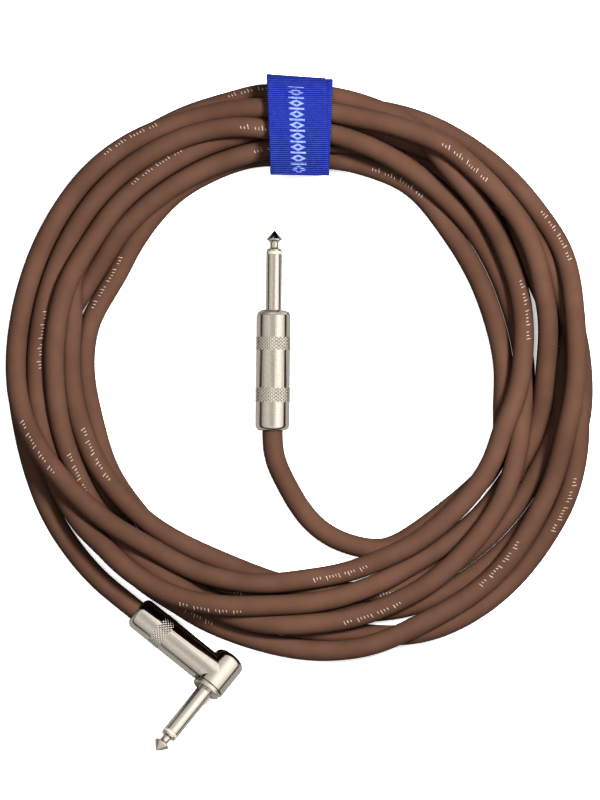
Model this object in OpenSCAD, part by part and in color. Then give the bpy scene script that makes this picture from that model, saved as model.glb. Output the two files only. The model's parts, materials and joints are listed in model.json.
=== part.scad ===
// Instrument cable: one long jacketed lead wound into a coil, with a straight 6.35 mm plug
// on one end, a right-angle 6.35 mm plug on the other, and a hook-and-loop strap round the coil.
// Millimetres. +Z is up, the cable lies on z = 0, and +Y runs from the coil's middle to the strap.
// Each plug is drawn about its own finger: local +Z points to the tip.

/* [Cable] */
// Diameter of the cable over its jacket
cable_d = 8.2; // [6.6:0.1:8.8]
// Height of the coil under the strap
strapped_h = 24; // [20:0.5:27]

/* [Plug finger] */
// Diameter of the plug finger
finger_d = 6.35; // [6:0.05:6.6]
// Length of the finger, from the collar to the point
finger_l = 31.75; // [26:0.25:38]
// Length of the tip contact that shows
tip_l = 8.1; // [7.2:0.1:9.6]
// Width of the insulating ring behind the tip
ring_w = 1.3; // [1:0.1:2.4]
// Diameter of the rod that joins the tip to its solder lug
rod_d = 2.2; // [1.8:0.1:2.6]

/* [Barrels] */
// Diameter of the straight plug's barrel
straight_barrel_d = 13.6; // [13.2:0.1:15.6]
// Length of the straight plug's barrel
straight_barrel_l = 46.2; // [42:0.5:48]
// Diameter of the right-angle plug's barrel and head
angled_barrel_d = 13.2; // [13:0.1:14]
// Length of the right-angle plug's barrel
angled_barrel_l = 34.4; // [32:0.2:38]
// How far the knurled bands stand out
knurl_h = 0.2; // [0.1:0.05:0.35]
// Diameter of the thread that holds each barrel
thread_d = 10.4; // [10:0.1:10.6]
// Length of the thread
thread_l = 6; // [5:0.5:7]

/* [Right-angle head] */
// Length of the head on the barrel's far side from the tip
head_back = 9.4; // [8.8:0.1:10.5]
// Distance from the barrel's axis to the front of the collar
head_front = 8.1; // [7.8:0.1:10]
// How far the finger points up from the ground, in degrees
roll = 20; // [12:1:21]

/* [Strap] */
// Width of the strap
strap_w = 23; // [16:0.5:26]
// Thickness of the strap's webbing
strap_t = 1.8; // [1.2:0.1:2.2]
// Length of the strap's loop across the bundle
strap_span = 39.2; // [38:0.2:44]

/* [Hidden] */
$fn = 96;

// Colours
NICKEL = "silver";
BRASS = "goldenrod";
NYLON = "ivory";
JACKET = [0.45, 0.31, 0.26];
BLUE = [0.22, 0.24, 0.72];

// Clearances: between parts that turn on each other, between parts that stay together,
// and between the straight plug's bands and the ground
run_gap = 0.05;
seat_gap = 0.03;
lie_gap = 0.1;

// Place of the coil's middle in the part's own frame
coil_middle = [-0.53, 13.97];

cable_r = cable_d / 2;
finger_r = finger_d / 2;
rod_r = rod_d / 2;
thread_r = thread_d / 2;

// Finger: the tip contact from its point backwards
point_r = 0.4;
cone_l = 3.2;
land_l = 0.5;
neck_r = 1.7;
neck_start = 5.1;
neck_end = 5.9;
shoulder_w = 0.7;
shoulder_r = finger_r - 0.175;
liner_r = 2.25;

// Body behind the finger
collar_l = 1.9;
collar_flat_r = 4.6;
boss_r = 3.6;
boss_l = 1.5;
washer_t = 1;
lug_t = 0.6;
rivet_r = 1.5;
rivet_l = 0.5;
lug_r = 2.6;
tongue_w = 2.6;
tongue_l = 6.5;
tongue_x = 1.7;

// Cable end inside a barrel
plate_t = 0.8;
plate_margin = 0.3;
arm_w = 4;
arm_t = 0.7;
arm_x = max(cable_r - 0.1, boss_r + seat_gap);
clamp_l = 5.5;
clamp_t = 0.6;
clamp_slot = 3.5;
jacket_bite = 1;
core_r = 1.2;
wire_r = 0.45;
tail_r = 0.7;
tail_l = 4.5;
core_l = 5;
wire_l = 4;
wire_lap = 0.4;
joint_h = 2.4;

// Barrel: the wall, the cavity and the tail
sleeve_t = 0.45;
straight_wall = 0.95;
angled_wall = 0.75;
tail_wall = 4.5;
tail_round = 2.2;
tail_hole_r = cable_r + 0.8;
thread_relief = 0.9;

// Straight plug: its collar's front face, from the coil's middle
straight_place = [-9.7, 27.2, straight_barrel_d / 2 + knurl_h + lie_gap];
straight_yaw = -0.6;
straight_body_end = -collar_l - thread_l - boss_l;
straight_lug_z = straight_body_end - washer_t;
straight_jacket_end = straight_lug_z - tongue_l + wire_lap - wire_l / 2 - core_l;
barrel_front = -collar_l - run_gap;

// Knurled bands: from the barrel's front, and from its tail
front_band = [8.55, 14.15];
rear_band = [11.25, 17.25];
angled_band = [18.45, 23.95];

// Right-angle plug: where the finger's and the barrel's axes cross, from the coil's middle
angled_place = [-32.2, -118.8, angled_barrel_d / 2 + 2.3];
angled_yaw = -38.5;
angled_pitch = 3;
angled_jacket_end = -thread_l - plate_t - tail_l - 0.2;
stub_x = angled_barrel_d / 2 + 0.1;
flange_r = 6;
flange_w = 1.8;
groove_w = 0.4;
groove_depth = 0.6;
spigot_l = 3;
head_cavity_r = 4.6;
wire_way_r = 3.6;
head_floor = 2;
cap_rim = 2.6;
cap_round = 2.4;
cap_plug_l = 1.2;

// Coil: inner radius, outer radius and height every 15 degrees, clockwise from the strap
coil_step = 15;
COIL = [
    [86, 116, 24], [85, 116, 25], [85, 119, 28], [81, 120, 26], [79, 121, 24],
    [78, 118, 24], [79, 118, 24], [80, 120, 21], [79, 122, 18], [77, 122, 17],
    [76, 119, 17], [76, 115, 17], [77, 113, 18], [76, 109, 22], [76, 105.5, 23],
    [79, 105.5, 21], [80, 107.5, 22], [80, 116, 23], [81, 117, 21], [82, 118, 21],
    [80, 119, 19], [82, 120, 18], [85, 118.5, 20], [86, 118, 23]
];
coil_corner = 5;
coil_sections = 96;
section_step = 360 / coil_sections;

// Half of the angle that the strap takes up, to the next section, and the ramp beside it
strap_room = 0.3;
waist_half = section_step * ceil(asin((strap_w / 2 + strap_room) / COIL[0][0]) / section_step);
waist_ramp = 3;

// Route of each lead from its barrel's tail to the coil, from the coil's middle
STRAIGHT_LEAD_END = [
    [-9.6, -28, 6.8], [-8, -34, 6.1], [-5.3, -41, 5.1], [-1.7, -48, 4.4],
    [3, -55, 4.1], [9, -61, 4.1], [17, -65.5, 4.1], [26, -68, 4.1],
    [36, -68.4, 4.1], [46, -66, 4.1], [54, -62.4, 4.1], [60, -58.5, 4.1]
];
ANGLED_LEAD_END = [
    [-70, -88.7, 6.1], [-75, -84.8, 5.5], [-80.5, -80, 4.9], [-86, -74, 4.4],
    [-91.5, -67, 4.1], [-97, -58.5, 4.1], [-101.5, -49.5, 4.1], [-105, -40, 4.1],
    [-107.6, -30, 4.1]
];
lead_sides = 12;

// ---------- small helpers ----------

// A ring with a square section, from z0 up to z1
module ring(outer_r, inner_r, z0, z1) {
    translate([0, 0, z0])
        difference() {
            cylinder(h = z1 - z0, r = outer_r);
            translate([0, 0, -1])
                cylinder(h = z1 - z0 + 2, r = inner_r);
        }
}

// A plain rod from z0 up to z1
module rod(r, z0, z1) {
    translate([0, 0, z0])
        cylinder(h = z1 - z0, r = r);
}

// Turns a child drawn about a finger on local Z into place
module straight_pose() {
    translate([coil_middle.x, coil_middle.y, 0])
        translate(straight_place)
            rotate([0, 0, straight_yaw])
                rotate([-90, 0, 0])
                    children();
}

// Local +Z runs along the finger and local -X along the barrel, from where the axes cross
module angled_pose() {
    translate([coil_middle.x, coil_middle.y, 0])
        translate(angled_place)
            rotate([0, 0, angled_yaw])
                rotate([0, -angled_pitch, 0])
                    rotate([90 - roll, 0, 0])
                        children();
}

// In the right-angle plug: local +Z along the finger, with 0 at the front of the collar
module angled_finger_pose() {
    angled_pose()
        translate([0, 0, head_front])
            children();
}

// In the right-angle plug: local +Z along the barrel towards the head, 0 at the head's face
module angled_barrel_pose() {
    angled_pose()
        translate([-stub_x, 0, 0])
            rotate([0, 90, 0])
                children();
}

// ---------- finger parts, shared by both plugs ----------

// Tip contact and its rod, down to rod_end
module tip_contact(rod_end) {
    color(NICKEL)
        rotate_extrude()
            polygon([
                [0, rod_end], [rod_r, rod_end],
                [rod_r, finger_l - tip_l], [shoulder_r, finger_l - tip_l],
                [shoulder_r, finger_l - tip_l + shoulder_w],
                [neck_r, finger_l - neck_end], [neck_r, finger_l - neck_start],
                [finger_r, finger_l - cone_l - land_l], [finger_r, finger_l - cone_l],
                [point_r, finger_l], [0, finger_l]
            ]);
}

// Insulating ring between the tip and the sleeve
module tip_insulator() {
    color(NYLON)
        ring(finger_r, rod_r + seat_gap, finger_l - tip_l - ring_w, finger_l - tip_l);
}

// Insulating tube round the rod, inside the sleeve, down to tube_end
module rod_insulator(tube_end) {
    color(NYLON)
        ring(liner_r, rod_r + seat_gap, tube_end, finger_l - tip_l - ring_w);
}

// Insulating washer under the solder lug, with its top face at z
module rear_washer(z) {
    color("saddlebrown")
        ring(boss_r - 0.1, rod_r + seat_gap, z - washer_t, z);
}

// Solder lug on the end of the rod: a washer and a tongue
module tip_lug(z) {
    color(BRASS)
        union() {
            ring(lug_r, rod_r + seat_gap, z - lug_t, z);
            ring(rivet_r, rod_r + seat_gap, z - lug_t - rivet_l, z - lug_t);
            tongue(z);
        }
}

// The lug's tongue alone
module tongue(z) {
    translate([-tongue_x - lug_t, -tongue_w / 2, z - tongue_l])
        cube([lug_t, tongue_w, tongue_l]);
}

// ---------- cable end parts, shared by both plugs ----------

// Ground plate, arm and crimped ring that hold the jacket; plate_z is the plate's front face
module cable_clamp(plate_z, plate_bore_r, jacket_end) {
    clamp_start = jacket_end - jacket_bite;
    color(BRASS)
        union() {
            ring(thread_r - plate_margin, plate_bore_r, plate_z - plate_t, plate_z);
            difference() {
                translate([arm_x, -arm_w / 2, clamp_start])
                    cube([arm_t, arm_w, plate_z - clamp_start]);
                rod(cable_r + seat_gap, clamp_start - 1, jacket_end);
            }
            difference() {
                ring(cable_r + clamp_t, cable_r + seat_gap, clamp_start - clamp_l, clamp_start);
                translate([-2 * cable_r, -clamp_slot / 2, clamp_start - clamp_l - 1])
                    cube([2 * cable_r, clamp_slot, clamp_l + 2]);
            }
        }
}

// Insulation of the centre conductor
module core(jacket_end) {
    color("white")
        rod(core_r, jacket_end, jacket_end + core_l);
}

// Bare centre conductor
module core_wire(jacket_end) {
    color("peru")
        rod(wire_r, jacket_end + core_l, jacket_end + core_l + wire_l);
}

// Shield strands twisted together and laid against the arm
module shield_tail(jacket_end) {
    color("peru")
        translate([arm_x - tail_r - seat_gap, 0, 0])
            rod(tail_r, jacket_end, jacket_end + tail_l);
}

// Barrel about local Z with its front face at z = 0, open for the thread at the front; bands
// are pairs of distances behind the front
module barrel(d, l, inside_r, bands) {
    color(NICKEL)
        rotate_extrude()
            difference() {
                union() {
                    translate([0, -l + tail_round])
                        square([d / 2, l - tail_round]);
                    translate([0, -l])
                        square([d / 2 - tail_round, tail_round + 1]);
                    translate([d / 2 - tail_round, -l + tail_round])
                        circle(r = tail_round);
                    for (band = bands)
                        translate([0, -band[1]])
                            square([d / 2 + knurl_h, band[1] - band[0]]);
                }
                translate([-1, -l - 1])
                    square([tail_hole_r + 1, l + 2]);
                translate([-1, -l + tail_wall])
                    square([inside_r + 1, l - tail_wall - thread_l - thread_relief]);
                translate([-1, -thread_l - thread_relief - 1])
                    square([thread_r + run_gap + 1, thread_l + thread_relief + 2]);
            }
}

// Insulating tube that lines a barrel; l is the barrel's length
module insulating_sleeve(l, inside_r) {
    color("black")
        ring(inside_r - run_gap, inside_r - run_gap - sleeve_t,
            -l + tail_wall + 0.2, -thread_l - thread_relief - 0.1);
}

// ---------- straight plug ----------

module straight_tip_contact() {
    straight_pose() tip_contact(straight_lug_z - lug_t - rivet_l);
}

module straight_tip_insulator() {
    straight_pose() tip_insulator();
}

module straight_rod_insulator() {
    straight_pose() rod_insulator(straight_body_end);
}

// Finger sleeve, knurled collar, thread and rear boss, turned from one bar
module straight_sleeve_contact() {
    round_r = straight_barrel_d / 2 - 0.1 - collar_flat_r;
    color(NICKEL)
        straight_pose()
            difference() {
                union() {
                    rod(finger_r, -collar_l, finger_l - tip_l - ring_w);
                    translate([0, 0, -collar_l])
                        cylinder(h = collar_l, r1 = collar_flat_r + round_r, r2 = collar_flat_r);
                    rod(thread_r, -collar_l - thread_l, -collar_l);
                    rod(boss_r, straight_body_end, -collar_l - thread_l);
                }
                rod(liner_r + seat_gap, straight_body_end - 1, finger_l);
            }
}

module straight_rear_washer() {
    straight_pose() rear_washer(straight_body_end);
}

module straight_tip_lug() {
    straight_pose() tip_lug(straight_lug_z);
}

module straight_cable_clamp() {
    straight_pose()
        cable_clamp(-collar_l - thread_l, boss_r + seat_gap, straight_jacket_end);
}

module straight_insulating_sleeve() {
    straight_pose()
        translate([0, 0, barrel_front])
            insulating_sleeve(straight_barrel_l, straight_barrel_d / 2 - straight_wall);
}

module straight_barrel() {
    tail_band = [straight_barrel_l - rear_band[1], straight_barrel_l - rear_band[0]];
    straight_pose()
        translate([0, 0, barrel_front])
            barrel(straight_barrel_d, straight_barrel_l, straight_barrel_d / 2 - straight_wall,
                [front_band, tail_band]);
}

module straight_core() {
    straight_pose() core(straight_jacket_end);
}

module straight_core_wire() {
    straight_pose() core_wire(straight_jacket_end);
}

module straight_shield_tail() {
    straight_pose() shield_tail(straight_jacket_end);
}

// Two joints: the conductor on the lug's tongue, and the shield strands on the arm
module straight_solder() {
    color("lightgrey")
        straight_pose() {
            wire_joint(straight_jacket_end);
            shield_joint(straight_jacket_end);
        }
}

// Solder bridging the conductor and the tongue
module wire_joint(jacket_end) {
    wire_start = jacket_end + core_l;
    mid = wire_start + wire_l / 2;
    difference() {
        translate([-tongue_x / 2, 0, 0])
            rod(tongue_x / 2 + 0.2, mid - joint_h / 2, mid + joint_h / 2);
        rod(wire_r, wire_start - 1, wire_start + wire_l + 1);
        translate([-tongue_x - lug_t, -tongue_w / 2, mid - joint_h])
            cube([lug_t, tongue_w, 2 * joint_h]);
    }
}

// Solder between the shield strands and the arm
module shield_joint(jacket_end) {
    mid = jacket_end + tail_l / 2;
    difference() {
        translate([arm_x - 2 * tail_r, -1, mid - joint_h / 2])
            cube([2 * tail_r, 2, joint_h]);
        translate([arm_x - tail_r - seat_gap, 0, 0])
            rod(tail_r, jacket_end - 1, jacket_end + tail_l + 1);
    }
}

// ---------- right-angle plug ----------

spigot_end = -flange_w - spigot_l;

module angled_tip_contact() {
    angled_finger_pose() tip_contact(spigot_end - washer_t - lug_t - rivet_l);
}

module angled_tip_insulator() {
    angled_finger_pose() tip_insulator();
}

module angled_rod_insulator() {
    angled_finger_pose() rod_insulator(spigot_end);
}

// Finger sleeve with its collar and the spigot pressed into the head
module angled_sleeve_contact() {
    color(NICKEL)
        angled_finger_pose()
            difference() {
                union() {
                    rod(finger_r, -flange_w, finger_l - tip_l - ring_w);
                    rod(flange_r, -flange_w, 0);
                    rod(boss_r, spigot_end, -flange_w);
                    rod(flange_r - groove_depth, -flange_w - groove_w, -flange_w);
                }
                rod(liner_r + seat_gap, spigot_end - 1, finger_l);
            }
}

module angled_rear_washer() {
    angled_finger_pose() rear_washer(spigot_end);
}

module angled_tip_lug() {
    angled_finger_pose() tip_lug(spigot_end - washer_t);
}

// Head casting: a cup along the finger's axis, and a threaded stub along the barrel's, which
// stays between the collar and the cap
module angled_head() {
    front = head_front - flange_w - groove_w;
    back = -head_back + cap_rim;
    color(NICKEL)
        angled_pose()
            difference() {
                union() {
                    rod(angled_barrel_d / 2, back, front);
                    intersection() {
                        rotate([0, -90, 0])
                            rod(angled_barrel_d / 2, 0, stub_x);
                        translate([-stub_x - 1, -angled_barrel_d, back])
                            cube([stub_x + 2, 2 * angled_barrel_d, front - back]);
                    }
                    rotate([0, -90, 0])
                        rod(thread_r, stub_x - 1, stub_x + thread_l);
                }
                rod(head_cavity_r, -head_back, front - head_floor);
                rod(boss_r + seat_gap, front - head_floor - 1, front + 1);
                rotate([0, -90, 0])
                    rod(wire_way_r, 0, stub_x + thread_l + 1);
            }
}

// Domed cap that closes the back of the head
module angled_head_cap() {
    r = angled_barrel_d / 2;
    color(NICKEL)
        angled_pose()
            union() {
                translate([0, 0, -head_back])
                    rotate_extrude()
                        union() {
                            square([r - cap_round, cap_rim]);
                            translate([0, cap_round])
                                square([r, cap_rim - cap_round]);
                            intersection() {
                                translate([r - cap_round, cap_round])
                                    circle(r = cap_round);
                                square([r, cap_round]);
                            }
                        }
                rod(head_cavity_r - seat_gap, -head_back + cap_rim,
                    -head_back + cap_rim + cap_plug_l);
            }
}

module angled_cable_clamp() {
    angled_barrel_pose()
        cable_clamp(-thread_l, wire_way_r, angled_jacket_end);
}

module angled_insulating_sleeve() {
    angled_barrel_pose()
        translate([0, 0, -run_gap])
            insulating_sleeve(angled_barrel_l, angled_barrel_d / 2 - angled_wall);
}

module angled_barrel() {
    angled_barrel_pose()
        translate([0, 0, -run_gap])
            barrel(angled_barrel_d, angled_barrel_l, angled_barrel_d / 2 - angled_wall,
                [angled_band]);
}

// Insulated core, along the barrel to the head
module angled_core() {
    color("white")
        angled_barrel_pose()
            rod(core_r, angled_jacket_end, 0);
}

// Bare end of the core, from the insulation to beside the tongue
module angled_core_wire() {
    color("peru")
        angled_barrel_pose()
            rod(wire_r, 0, stub_x - tongue_x - lug_t);
}

module angled_shield_tail() {
    angled_barrel_pose() shield_tail(angled_jacket_end);
}

// Two joints: the conductor on the lug's tongue, and the shield strands on the arm
module angled_solder() {
    color("lightgrey") {
        angled_pose()
            difference() {
                rotate([0, -90, 0])
                    rod(joint_h / 2, tongue_x + lug_t, tongue_x + lug_t + joint_h / 2);
                rotate([0, -90, 0])
                    rod(wire_r, 0, stub_x);
            }
        angled_barrel_pose() shield_joint(angled_jacket_end);
    }
}

// ---------- strap ----------

strap_y = 100.4;
strap_top = strapped_h + strap_t;
loop_round = 5;
tape_t = 0.7;
tape_l = 24;
tape_margin = 1;
free_end_z = strap_top + 2 * tape_t;
free_end_t = 1.2;
free_end_l = 34;
free_end_round = 1.5;
stitch_w = 0.5;
stitch_l = 2;
stitch_h = 0.3;
stitch_step = 3.2;
stitch_side = 2.2;
stitch_end = 3;

// Turns a child drawn with X across the strap's width and Y along its span into place
module strap_pose() {
    translate([coil_middle.x, coil_middle.y + strap_y, 0])
        children();
}

// A rounded bar across the strap: width along X, length along Y, from z0 up to z1
module strap_bar(width, length, z0, z1, round_r) {
    translate([-width / 2, 0, 0])
        rotate([90, 0, 90])
            linear_extrude(width)
                hull() {
                    for (y = [-length / 2 + round_r, length / 2 - round_r])
                        for (z = [z0 + round_r, z1 - round_r])
                            translate([y, z])
                                circle(r = round_r, $fn = 32);
                }
}

// Webbing once round the bundle
module strap_loop() {
    color(BLUE)
        strap_pose()
            difference() {
                strap_bar(strap_w, strap_span, 0, strap_top, loop_round);
                strap_bar(strap_w + 2, strap_span - 2 * strap_t, strap_t, strapped_h,
                    loop_round - strap_t);
            }
}

// Loop tape sewn on the outside of the loop
module strap_loop_tape() {
    color("navy")
        strap_pose()
            translate([-strap_w / 2 + tape_margin, -tape_l / 2, strap_top])
                cube([strap_w - 2 * tape_margin, tape_l, tape_t]);
}

// Hook tape sewn under the free end
module strap_hook_tape() {
    color("midnightblue")
        strap_pose()
            translate([-strap_w / 2 + tape_margin, -tape_l / 2, strap_top + tape_t])
                cube([strap_w - 2 * tape_margin, tape_l, tape_t]);
}

// Free end of the webbing, folded over the top
module strap_free_end() {
    corner_x = strap_w / 2 - free_end_round;
    corner_y = free_end_l / 2 - free_end_round;
    color(BLUE)
        strap_pose()
            translate([0, 0, free_end_z])
                linear_extrude(free_end_t)
                    hull()
                        for (x = [-corner_x, corner_x])
                            for (y = [-corner_y, corner_y])
                                translate([x, y])
                                    circle(r = free_end_round, $fn = 32);
}

// Two rows of stitches across the free end
module strap_stitching() {
    first_x = -strap_w / 2 + stitch_side;
    last_x = strap_w / 2 - stitch_side - stitch_l;
    row_y = free_end_l / 2 - stitch_end;
    color("lightblue")
        strap_pose()
            for (y = [-row_y, row_y])
                for (x = [first_x : stitch_step : last_x])
                    translate([x, y - stitch_w / 2, free_end_z + free_end_t])
                        cube([stitch_l, stitch_w, stitch_h]);
}

// ---------- cable ----------

function turned(a) = (a % 360 + 360) % 360;

// One of the coil's tabled sizes at an angle, blended smoothly between stations
function coil_size(a, k) =
    let (
        n = len(COIL),
        u = turned(a) / coil_step,
        i = floor(u),
        f = u - i,
        s = f * f * (3 - 2 * f)
    )
    COIL[i % n][k] * (1 - s) + COIL[(i + 1) % n][k] * s;

// How far round from the strap's middle an angle is
function from_strap(a) = min(turned(a), 360 - turned(a));

// 1 under the strap, 0 away from it
function waist(a) = max(0, min(1, (waist_half + waist_ramp - from_strap(a)) / waist_ramp));

// Section of the coil at an angle: bottom and top follow the strap where it passes
function coil_section(a) =
    let (
        w = waist(a),
        r0 = coil_size(a, 0),
        r1 = coil_size(a, 1),
        z0 = strap_t * w,
        z1 = coil_size(a, 2) * (1 - w) + strapped_h * w,
        c = coil_corner,
        outline = [
            [r0, z0 + c], [r0 + c, z0], [r1 - c, z0], [r1, z0 + c],
            [r1, z1 - c], [r1 - c, z1], [r0 + c, z1], [r0, z1 - c]
        ]
    )
    [for (p = outline) [p[0] * sin(a), p[0] * cos(a), p[1]]];

// Faces of a closed ring of n sections with m points each
function ring_faces(n, m) = [
    for (i = [0 : n - 1]) for (j = [0 : m - 1])
        let (
            a = i * m + j,
            b = i * m + (j + 1) % m,
            c = ((i + 1) % n) * m + (j + 1) % m,
            d = ((i + 1) % n) * m + j
        )
        each [[a, b, c], [a, c, d]]
];

// Faces of an open tube of n rings with m points each, with flat ends
function tube_faces(n, m) = concat(
    [for (i = [0 : n - 2]) for (j = [0 : m - 1])
        let (
            a = i * m + j,
            b = i * m + (j + 1) % m,
            c = (i + 1) * m + (j + 1) % m,
            d = (i + 1) * m + j
        )
        each [[a, c, b], [a, d, c]]],
    [[for (j = [0 : m - 1]) j]],
    [[for (j = [m - 1 : -1 : 0]) (n - 1) * m + j]]
);

function unit(v) = v / norm(v);

// Direction of a route at point i
function heading(p, i) = unit(p[min(i + 1, len(p) - 1)] - p[max(i - 1, 0)]);

// A round tube along a route, which never goes lower than the tube's own radius
module tube(route, r, sides) {
    line = [for (p = route) [p.x, p.y, max(p.z, r)]];
    points = [
        for (i = [0 : len(line) - 1])
            let (
                t = heading(line, i),
                side = unit(cross(t, [0, 0, 1])),
                top = cross(side, t)
            )
            for (j = [0 : sides - 1])
                line[i] + r * cos(360 * j / sides) * side + r * sin(360 * j / sides) * top
    ];
    polyhedron(points = points, faces = tube_faces(len(line), sides));
}

// Outer shape of the wound turns
module cable_coil() {
    points = [for (i = [0 : coil_sections - 1]) each coil_section(i * section_step)];
    color(JACKET)
        translate([coil_middle.x, coil_middle.y, 0])
            polyhedron(points = points, faces = ring_faces(coil_sections, 8));
}

// A point on the straight barrel's axis, s behind the collar's front, from the coil's middle
function straight_axis(s) =
    straight_place + s * [sin(straight_yaw), -cos(straight_yaw), 0];

// From the straight plug's clamp to the coil's inner turn
module cable_lead_straight() {
    tail = straight_barrel_l - barrel_front;
    on_axis = [for (s = [-straight_jacket_end, (tail - straight_jacket_end) / 2, tail]) straight_axis(s)];
    color(JACKET)
        translate([coil_middle.x, coil_middle.y, 0])
            tube(concat(on_axis, STRAIGHT_LEAD_END), cable_r, lead_sides);
}

// A point on the right-angle barrel's axis, s behind the head's face, from the coil's middle
function angled_axis(s) =
    let (reach = stub_x + s)
    angled_place + [
        -reach * cos(angled_pitch) * cos(angled_yaw),
        -reach * cos(angled_pitch) * sin(angled_yaw),
        -reach * sin(angled_pitch)
    ];

// From the right-angle plug's clamp to the coil's outer turn
module cable_lead_angled() {
    tail = angled_barrel_l + 1;
    on_axis = [for (s = [-angled_jacket_end, (tail - angled_jacket_end) / 2, tail]) angled_axis(s)];
    color(JACKET)
        translate([coil_middle.x, coil_middle.y, 0])
            tube(concat(on_axis, ANGLED_LEAD_END), cable_r, lead_sides);
}

straight_tip_contact();
straight_tip_insulator();
straight_rod_insulator();
straight_sleeve_contact();
straight_rear_washer();
straight_tip_lug();
straight_cable_clamp();
straight_insulating_sleeve();
straight_barrel();
straight_core();
straight_core_wire();
straight_shield_tail();
straight_solder();
angled_tip_contact();
angled_tip_insulator();
angled_rod_insulator();
angled_sleeve_contact();
angled_rear_washer();
angled_tip_lug();
angled_head();
angled_head_cap();
angled_cable_clamp();
angled_insulating_sleeve();
angled_barrel();
angled_core();
angled_core_wire();
angled_shield_tail();
angled_solder();
strap_loop();
strap_loop_tape();
strap_hook_tape();
strap_free_end();
strap_stitching();
cable_coil();
cable_lead_straight();
cable_lead_angled();
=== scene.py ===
"""Instrument cable in a coil with a strap round it: its looks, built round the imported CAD.

Everything is in metres in the model's own frame: the cable lies on z = 0, the strap is at +Y.
"""

import json
import math

import bmesh
import bpy
import numpy as np
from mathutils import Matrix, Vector


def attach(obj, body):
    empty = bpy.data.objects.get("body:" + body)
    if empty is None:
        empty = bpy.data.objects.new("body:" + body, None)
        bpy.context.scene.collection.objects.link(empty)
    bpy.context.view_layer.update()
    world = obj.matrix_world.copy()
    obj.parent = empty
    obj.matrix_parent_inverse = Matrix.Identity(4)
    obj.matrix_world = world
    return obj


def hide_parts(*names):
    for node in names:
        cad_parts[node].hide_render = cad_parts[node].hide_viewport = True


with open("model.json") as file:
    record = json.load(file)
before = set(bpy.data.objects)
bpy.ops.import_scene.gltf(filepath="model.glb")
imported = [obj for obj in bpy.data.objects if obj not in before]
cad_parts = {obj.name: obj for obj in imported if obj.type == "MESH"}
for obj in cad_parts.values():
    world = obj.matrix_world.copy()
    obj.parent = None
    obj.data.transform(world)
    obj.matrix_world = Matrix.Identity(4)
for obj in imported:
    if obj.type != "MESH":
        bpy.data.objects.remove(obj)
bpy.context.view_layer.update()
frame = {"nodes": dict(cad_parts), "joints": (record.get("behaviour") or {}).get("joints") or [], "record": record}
NODES = frame["nodes"]
RECORD = frame["record"]
MM = 0.001

# ---------------------------------------------------------------- sizes

CABLE_D = 8.2 * MM
CABLE_R = CABLE_D / 2
COIL_MIDDLE = np.array([-0.53, 13.97, 0.0]) * MM
COIL_STEP = 15.0

# Each turn's radius in millimetres, every 15 degrees clockwise from the strap, and how high
# it lies in the pile. The first turn comes from the right-angle plug, the last goes to the
# straight one. The radii were read from the photo, unwrapped round the coil's middle,
# at 0.4 mm to a pixel.
TURNS = [
    (0.5, 225, [113.8, 113.4, 111.8, 111.6, 112.4, 112.8, 112.4, 111.2, 110]),
    (5, 0, [109.6, 109.6, 112.6, 114.4, 114.6, 112, 110.8, 110, 109.6, 110.8, 110, 109.8,
            106.8, 104.4, 103, 102.2, 102.4, 102.8, 103.6, 104.8, 106.4, 107.6, 107.2, 106.4]),
    (7, 0, [109.2, 109.4, 106.8, 101.2, 97.2, 92.6, 89, 86.8, 83.8, 81.4, 80.4, 79.8,
            81.2, 84.4, 87.8, 91.8, 98.6, 106.4, 111.6, 112.8, 114.8, 115.2, 112.8, 110]),
    (6, 0, [107.6, 107.2, 107.8, 108.2, 107.8, 103.6, 100, 96.8, 92.8, 88.6, 88.4, 88.4,
            91, 95.2, 99.2, 102, 102.8, 102.8, 103.2, 104.8, 106.4, 107.6, 106.4, 102.8]),
    (4, 0, [98.8, 97.6, 94.6, 91.2, 88.6, 88.4, 89.2, 91.8, 94.6, 96.2, 97.4, 98,
            98, 97.2, 96.4, 96, 96.8, 98, 98.4, 98.8, 99.2, 99.6, 100, 100.4]),
    (2, 0, [102, 103.2, 105.6, 108, 109.6, 110.4, 110.8, 113.6, 117.4, 118.2, 115.4, 107.2,
            99.2, 95.2, 94, 93.2, 93.2, 95.6, 96.6, 95.2, 93.4, 92.4, 91.2, 91.4]),
    (3, 0, [92.8, 98, 102.4, 102.8, 104.8, 107.2, 108.4, 105, 101.2, 97.8, 94.4, 91.2,
            88, 84, 82.2, 83.2, 85.8, 88.8, 92, 95.4, 98.4, 99.4, 99.4, 100]),
    (1, 0, [100.4, 102.4, 104.8, 106.8, 108.4, 110, 110.8, 111.6, 110, 106.8, 102, 94.4,
            90.4, 87.6, 86, 85.2, 85.2, 84.8, 85.8, 87, 87.2, 88.6, 90.4, 91.2]),
    (0, 0, [91.2, 91.4, 90.4, 87, 85, 84.8, 86, 86.4, 85.6, 83.2, 79, 73]),
]
# Where a turn lies above or below its usual place: turn, from and to in degrees, height
CROSSINGS = [(3, 14, 62, 7.5), (3, 92, 140, 3.8)]

# Routes of the leads that aren't coiled, in millimetres from the coil's middle
STRAIGHT_LEAD = [
    (-9.95, 3.7, 7.1), (-10.09, -10, 7.1), (-10.16, -17, 7.1), (-10.22, -22.5, 7.1),
    (-10.2, -27, 7.0), (-8.9, -34, 6.2), (-5.3, -41, 5.1), (-1.7, -48, 4.4),
    (3, -55, 4.1), (9, -61, 4.1), (17, -65.5, 4.1), (26, -68, 4.1),
    (36, -68.4, 4.1), (46, -66, 4.1), (54, -62.4, 4.1), (60, -58.5, 4.1),
]
ANGLED_LEAD = [
    (-70, -88.7, 6.1), (-75, -84.8, 5.5), (-80.5, -80, 4.9), (-86, -74, 4.4),
    (-91.5, -67, 4.1), (-97, -58.5, 4.1), (-101.5, -49.5, 4.1), (-105, -40, 4.1),
    (-107.6, -30, 4.1),
]

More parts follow.
